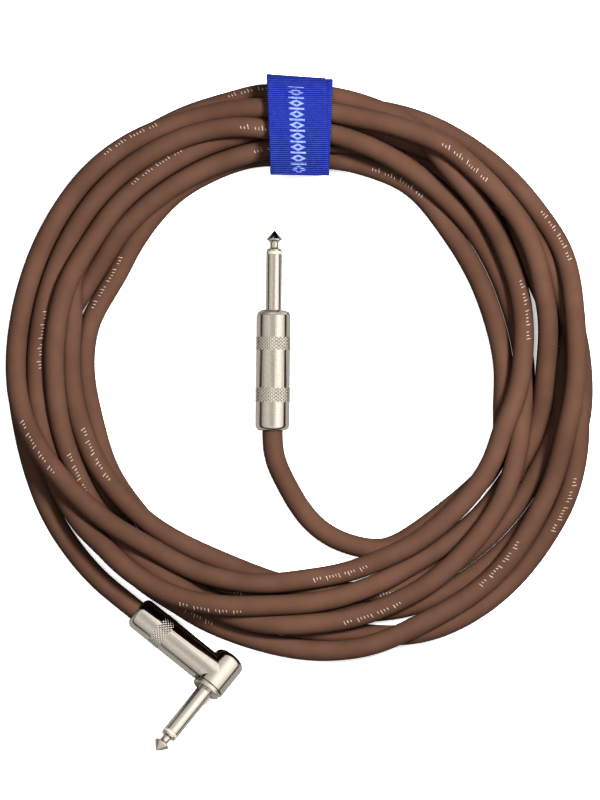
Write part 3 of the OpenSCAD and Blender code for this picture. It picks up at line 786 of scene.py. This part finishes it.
def webbing(name, path, width, thickness, place, material, closed=False, rib_h=RIB_H):
    """Woven tape along a path of (y, z): ribs across it, thicker edges, and soft corners."""
    line, normal, at = even_path(path, RIB / ROWS_TO_A_RIB)
    if closed:
        line, normal, at = line[:-1], normal[:-1], at[:-1]
    across = np.linspace(-1, 1, ACROSS)
    half_w, half_t = width / 2, thickness / 2
    top = [(half_w * u - 0.35 * half_t * u, half_t, u) for u in across]
    edge = [(half_w - 0.35 * half_t + half_t * math.sin(a) * 0.8, half_t * math.cos(a), 1)
            for a in np.radians((35, 70, 110, 145))]
    section = top + edge + [(x, -n, u) for x, n, u in top[::-1]]
    section += [(-x, n, -1) for x, n, u in edge[::-1]]
    x, n, u = np.array(section).T
    rng = np.random.default_rng(7)
    wave = np.cumsum(rng.normal(0, 1, len(at)))
    wave = np.convolve(wave - wave.mean(), np.ones(61) / 61, "same")
    wave = 0.12 * MM * wave / (np.abs(wave).max() + 1e-9)
    rib = np.abs(np.sin(np.pi * at / RIB))[:, None] * rib_h
    thread = 0.35 * rib_h * np.sin(2 * np.pi * x / YARN)[None, :]
    selvedge = 0.06 * MM * np.clip((np.abs(u) - 0.86) / 0.08, 0, 1)[None, :]
    face = np.sign(n)[None, :] * (np.abs(n) > 0.98 * half_t)[None, :]
    off = n[None, :] + face * (rib - rib_h + thread * (rib / rib_h) + selvedge)
    wide = x[None, :] + np.sign(x)[None, :] * (np.abs(u) == 1)[None, :] * wave[:, None]
    y = line[:, 0][:, None] + normal[:, 0][:, None] * off
    z = line[:, 1][:, None] + normal[:, 1][:, None] * off
    points = place(wide, y, z)
    rows, cols = len(at), len(section)
    faces = grid_faces(rows, cols, closed_rows=closed, closed_cols=True)
    if not closed:
        faces.append(tuple(range(cols)))
        faces.append(tuple((rows - 1) * cols + j for j in range(cols)))
    return new_mesh(name, points.reshape(-1, 3), faces, material)


def loop_place(x, y, z):
    """The loop sits a little to the right of the flap, and leans."""
    return np.stack([x + 1.35 * MM + 0.04 * y, y + 0 * x, z + 0 * x], axis=-1) + STRAP_MIDDLE


def flap_place(x, y, z):
    """The flap is pulled slightly askew over the loop."""
    slant = 0.045 + 0.025 * y / (20 * MM)
    return np.stack([x - 0.038 * y + 0 * z, y - slant * x, z + 0 * x], axis=-1) + STRAP_MIDDLE


LOOP_A, LOOP_B, LOOP_Z = 17.9 * MM, 12.3 * MM, 13.15 * MM
LOOP_POWER = 3.2
LOOP_T = 1.5 * MM
TAPE_W = 20 * MM
TAPE_L = 22 * MM
TAPE_T = 0.4 * MM
FLAP_T = 1.2 * MM
FLAP_END_Y = -20 * MM
FLAP_DROOP = 2.4 * MM
DROOP_FROM_Y = -11 * MM

# The woven pattern down the flap: bars, and diamonds with an open middle
PATTERN_REPEATS = 8
PATTERN_TOP_Y = 14.6 * MM
PATTERN_STEP = 4.35 * MM
PATTERN_HALF_W = 3.1 * MM
PATTERN_SHIFT = 0.35 * MM
PATTERN_T = 0.05 * MM
PATTERN_PROUD = 0.03 * MM
PATTERN_COLS = 10
BAR_HALF = 0.4 * MM
DIAMOND_HALF = 1.5 * MM
DIAMOND_BELOW = 2.17 * MM
EYE_HALF_W = 1.3 * MM
EYE_HALF = 0.62 * MM


def oval(a, b, angles):
    """Points of a squarish oval round the bundle, as (y, z)."""
    c, s = np.cos(np.radians(angles)), np.sin(np.radians(angles))
    power = 2 / LOOP_POWER
    return np.column_stack([a * np.sign(c) * np.abs(c) ** power,
                            LOOP_Z + b * np.sign(s) * np.abs(s) ** power])


def flap_path():
    """From low on the outer side, over the top, to the flap's end past the inner side."""
    gap = LOOP_T / 2 + 2 * TAPE_T + FLAP_T / 2
    side = oval(LOOP_A + 1.3 * MM, LOOP_B + gap, np.linspace(-28, 84, 60))
    top = LOOP_Z + LOOP_B + gap
    y = np.linspace(side[-1][0] - 0.5 * MM, FLAP_END_Y, 60)
    droop = FLAP_DROOP * np.clip((y - DROOP_FROM_Y) / (FLAP_END_Y - DROOP_FROM_Y), 0, 1) ** 2
    return np.vstack([side, np.column_stack([y, top - droop])])


def pattern_shapes():
    """Outlines of the woven pattern down the flap's middle: bars and open diamonds."""
    shapes = []
    half = PATTERN_HALF_W
    for k in range(PATTERN_REPEATS):
        v = PATTERN_TOP_Y - PATTERN_STEP * k
        shapes.append([(-half, v + BAR_HALF), (half, v + BAR_HALF),
                       (half, v - BAR_HALF), (-half, v - BAR_HALF)])
        mid = v - DIAMOND_BELOW
        outer = [(0, mid + DIAMOND_HALF), (half, mid), (0, mid - DIAMOND_HALF), (-half, mid)]
        inner = [(0, mid + EYE_HALF), (EYE_HALF_W, mid), (0, mid - EYE_HALF), (-EYE_HALF_W, mid)]
        for i in range(4):
            j = (i + 1) % 4
            shapes.append([outer[i], outer[j], inner[j], inner[i]])
    return shapes


def make_pattern():
    """The pattern's threads, lying just proud of the flap's top face."""
    line, _, at = even_path(flap_path(), RIB / ROWS_TO_A_RIB)
    # on the top run, y falls steadily, so a height can be looked up by y
    top = (line[:, 0] < 15.5 * MM) & (line[:, 1] > LOOP_Z)
    ys, zs = line[top][:, 0][::-1], line[top][:, 1][::-1]
    ribs = (np.abs(np.sin(np.pi * at / RIB))[top])[::-1]
    points, faces = [], []
    for shape in pattern_shapes():
        a, b, c, d = [np.array(v) for v in shape]
        rows = max(4, int(np.ptp([v[1] for v in shape]) / (RIB / ROWS_TO_A_RIB)))
        cols = PATTERN_COLS
        start = len(points)
        for i in range(rows + 1):
            for j in range(cols + 1):
                s, t = j / cols, i / rows
                q = (1 - t) * ((1 - s) * a + s * b) + t * ((1 - s) * d + s * c)
                z = np.interp(q[1], ys, zs)
                lift = FLAP_T / 2 + PATTERN_PROUD - RIB_H * (1 - np.interp(q[1], ys, ribs))
                points.append(flap_place(np.array(q[0] - PATTERN_SHIFT), np.array(q[1]),
                                         np.array(z + lift)))
        for f in grid_faces(rows + 1, cols + 1):
            faces.append(tuple(start + k for k in f))
    made = new_mesh("strap_pattern", np.array(points), faces, MATERIALS["pattern"])
    solid = made.modifiers.new("thickness", "SOLIDIFY")
    solid.thickness = PATTERN_T
    solid.offset = 0
    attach(made, "root")


def tape_path(offset, length):
    """A flat run of tape on top of the loop."""
    y = np.linspace(length / 2, -length / 2, 40)
    return np.column_stack([y, np.full(len(y), LOOP_Z + LOOP_B + LOOP_T / 2 + offset)])


def make_strap():
    """Loop, flap and tapes of the strap, and the pattern on the flap."""
    loop = webbing("strap_webbing_loop", oval(LOOP_A, LOOP_B, np.linspace(-90, 270, 361)),
                   STRAP_W, LOOP_T, loop_place, MATERIALS["webbing"], closed=True)
    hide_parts("strap_loop")
    flap = webbing("strap_webbing_flap", flap_path(), STRAP_W, FLAP_T, flap_place,
                   MATERIALS["webbing"])
    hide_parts("strap_free_end", "strap_stitching")
    for piece in (loop, flap):
        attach(piece, "root")
    for k, node in enumerate(("strap_loop_tape", "strap_hook_tape")):
        tape = webbing(node + "_pile", tape_path((k + 0.5) * TAPE_T, TAPE_L), TAPE_W, TAPE_T,
                       flap_place if k else loop_place, MATERIALS["hook_tape"],
                       rib_h=TAPE_RIB_H)
        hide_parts(node)
        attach(tape, "root")
    make_pattern()


make_strap()


# ---------------------------------------------------------------- marks on the jacket

MARKS_FROM = 0.13
MARKS_SHORT_OF_END = 0.1
MARK_EVERY = 0.14
MARK_LEAN = (-0.55, 0.45)
MARK_LIFT = 0.02 * MM
MARK_T = 0.03 * MM
STROKE_STEP = 1.35 * MM
STROKE_W = 0.36 * MM
STROKE_SLANT = 0.25
STROKES_MM = [2.0, 1.1, 1.1, 0, 2.0, 1.1, 1.1, 1.1, 2.0, 0, 1.1, 2.0, 1.1, 1.1, 0, 2.0, 1.1, 1.1]
STROKE_ROWS = 5


def make_marks():
    """Rows of plain slanted strokes in pale ink, tall and short, repeated along the jacket."""
    side, top = frames_along(LINE)[1:]
    along = np.r_[0, np.cumsum(np.linalg.norm(np.diff(LINE, axis=0), axis=1))]
    points, faces = [], []

    def on_jacket(s, angle):
        middle, out, up = (np.array([np.interp(s, along, v[:, k]) for k in range(3)])
                           for v in (LINE, side, top))
        way = unit(out * math.sin(angle) + up * math.cos(angle))
        return middle + way * (CABLE_R + MARK_LIFT)

    rng = np.random.default_rng(3)
    for first in np.arange(MARKS_FROM, along[-1] - MARKS_SHORT_OF_END, MARK_EVERY):
        lean = rng.uniform(*MARK_LEAN)
        for k, height in enumerate(STROKES_MM):
            if height == 0:
                continue
            start = len(points)
            for rise in np.linspace(0, height * MM, STROKE_ROWS):
                for edge in (-0.5, 0.5):
                    s = first + k * STROKE_STEP + rise * STROKE_SLANT + edge * STROKE_W
                    points.append(on_jacket(s, lean + rise / CABLE_R))
            faces += [tuple(start + c for c in f) for f in grid_faces(STROKE_ROWS, 2)]
    made = new_mesh("jacket_marks", np.array(points), faces, MATERIALS["ink"])
    solid = made.modifiers.new("thickness", "SOLIDIFY")
    solid.thickness = MARK_T
    solid.offset = 0
    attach(made, "root")
    return made


JACKET_MARKS = make_marks()


# ---------------------------------------------------------------- ground and light

GROUND_HALF = 6
GROUND_BELOW = 0.2 * MM
# How much of the seen floor's paleness the metal reflects
GROUND_IN_METAL = 0.22
GROUND_GLOW = 0.4


def make_ground():
    """A plain floor: pale to the eye, darker to the light that it throws back."""
    mesh = bpy.data.meshes.new("ground")
    size = GROUND_HALF
    mesh.from_pydata([(-size, -size, 0), (size, -size, 0), (size, size, 0), (-size, size, 0)],
                     [], [(0, 1, 2, 3)])
    ground = bpy.data.objects.new("ground", mesh)
    bpy.context.scene.collection.objects.link(ground)
    n = Nodes("ground")
    n.set(Roughness=0.95, Specular_IOR_Level=0.1)
    mix = n.node("ShaderNodeMix", data_type="RGBA")
    mix.inputs["A"].default_value = (0.12, 0.12, 0.12, 1)
    mix.inputs["B"].default_value = (0.95, 0.95, 0.95, 1)
    rays = n.node("ShaderNodeLightPath")
    seen = n.node("ShaderNodeMath", operation="MAXIMUM")
    n.link(rays.outputs["Is Camera Ray"], seen.inputs[0])
    n.link(n.grey(rays.outputs["Is Glossy Ray"], 0, GROUND_IN_METAL), seen.inputs[1])
    n.link(seen.outputs["Value"], mix.inputs["Factor"])
    n.link(mix.outputs["Result"], n.shader.inputs["Base Color"])
    # far from the lamps it still looks pale
    n.set(Emission_Color=(1, 1, 1, 1))
    n.link(n.grey(rays.outputs["Is Camera Ray"], 0, GROUND_GLOW),
           n.shader.inputs["Emission Strength"])
    mesh.materials.append(n.material)
    ground.location.z = -GROUND_BELOW


def area_light(name, at, size, power):
    """A soft box that lights the matt surfaces; the metal sees only the tent round it."""
    data = bpy.data.lights.new(name, "AREA")
    data.energy = power
    data.size = size
    light = bpy.data.objects.new(name, data)
    bpy.context.scene.collection.objects.link(light)
    light.location = at
    light.rotation_mode = "QUATERNION"
    light.rotation_quaternion = (-Vector(at)).to_track_quat("-Z", "Y")
    light.visible_glossy = False


# The tent's colours by height, from the horizon at 0 to overhead at 1
TENT = [(0.0, (0.02, 0.02, 0.02)), (0.10, (0.02, 0.02, 0.02)), (0.24, (0.55, 0.55, 0.55)),
        (0.5, (0.75, 0.75, 0.75)), (0.85, (0.95, 0.95, 0.95)), (1.0, (0.72, 0.72, 0.71))]
TENT_ON_MATT = 0.1


def make_light():
    """A tent that is dark near the horizon and brightest on the right, and two soft boxes."""
    world = bpy.data.worlds.new("studio")
    bpy.context.scene.world = world
    world.use_nodes = True
    tree = world.node_tree
    place = tree.nodes.new("ShaderNodeTexCoord")
    split = tree.nodes.new("ShaderNodeSeparateXYZ")
    ramp = tree.nodes.new("ShaderNodeValToRGB")
    while len(ramp.color_ramp.elements) < len(TENT):
        ramp.color_ramp.elements.new(0.5)
    for element, (position, colour) in zip(ramp.color_ramp.elements, TENT):
        element.position = position
        element.color = (*colour, 1)
    right = tree.nodes.new("ShaderNodeMapRange")
    right.inputs["From Min"].default_value = 0.02
    right.inputs["From Max"].default_value = 0.5
    right.inputs["To Min"].default_value = 0.85
    right.inputs["To Max"].default_value = 1.5
    back = tree.nodes["Background"]
    tree.links.new(place.outputs["Generated"], split.inputs["Vector"])
    tree.links.new(split.outputs["Z"], ramp.inputs["Fac"])
    tree.links.new(split.outputs["X"], right.inputs["Value"])
    # the eye sees a plain pale backdrop in place of the tent
    drop = tree.nodes.new("ShaderNodeMix")
    drop.data_type = "RGBA"
    drop.inputs["B"].default_value = (0.80, 0.80, 0.80, 1)
    tree.links.new(ramp.outputs["Color"], drop.inputs["A"])
    tree.links.new(drop.outputs["Result"], back.inputs["Color"])
    # the tent is for the metal to reflect: little of it reaches a matt surface
    rays = tree.nodes.new("ShaderNodeLightPath")
    share = tree.nodes.new("ShaderNodeMapRange")
    share.inputs["To Min"].default_value = 1.0
    share.inputs["To Max"].default_value = TENT_ON_MATT
    strength = tree.nodes.new("ShaderNodeMath")
    strength.operation = "MULTIPLY"
    tree.links.new(rays.outputs["Is Diffuse Ray"], share.inputs["Value"])
    tree.links.new(rays.outputs["Is Camera Ray"], drop.inputs["Factor"])
    tree.links.new(right.outputs["Result"], strength.inputs[0])
    tree.links.new(share.outputs["Result"], strength.inputs[1])
    tree.links.new(strength.outputs["Value"], back.inputs["Strength"])
    area_light("key", (0.45, 0.3, 1.05), 0.25, 21)
    area_light("fill", (-0.22, 0.05, 1.3), 0.35, 6)


make_ground()
make_light()
bpy.context.scene.view_settings.view_transform = "Standard"
bpy.context.scene.view_settings.look = "High Contrast"
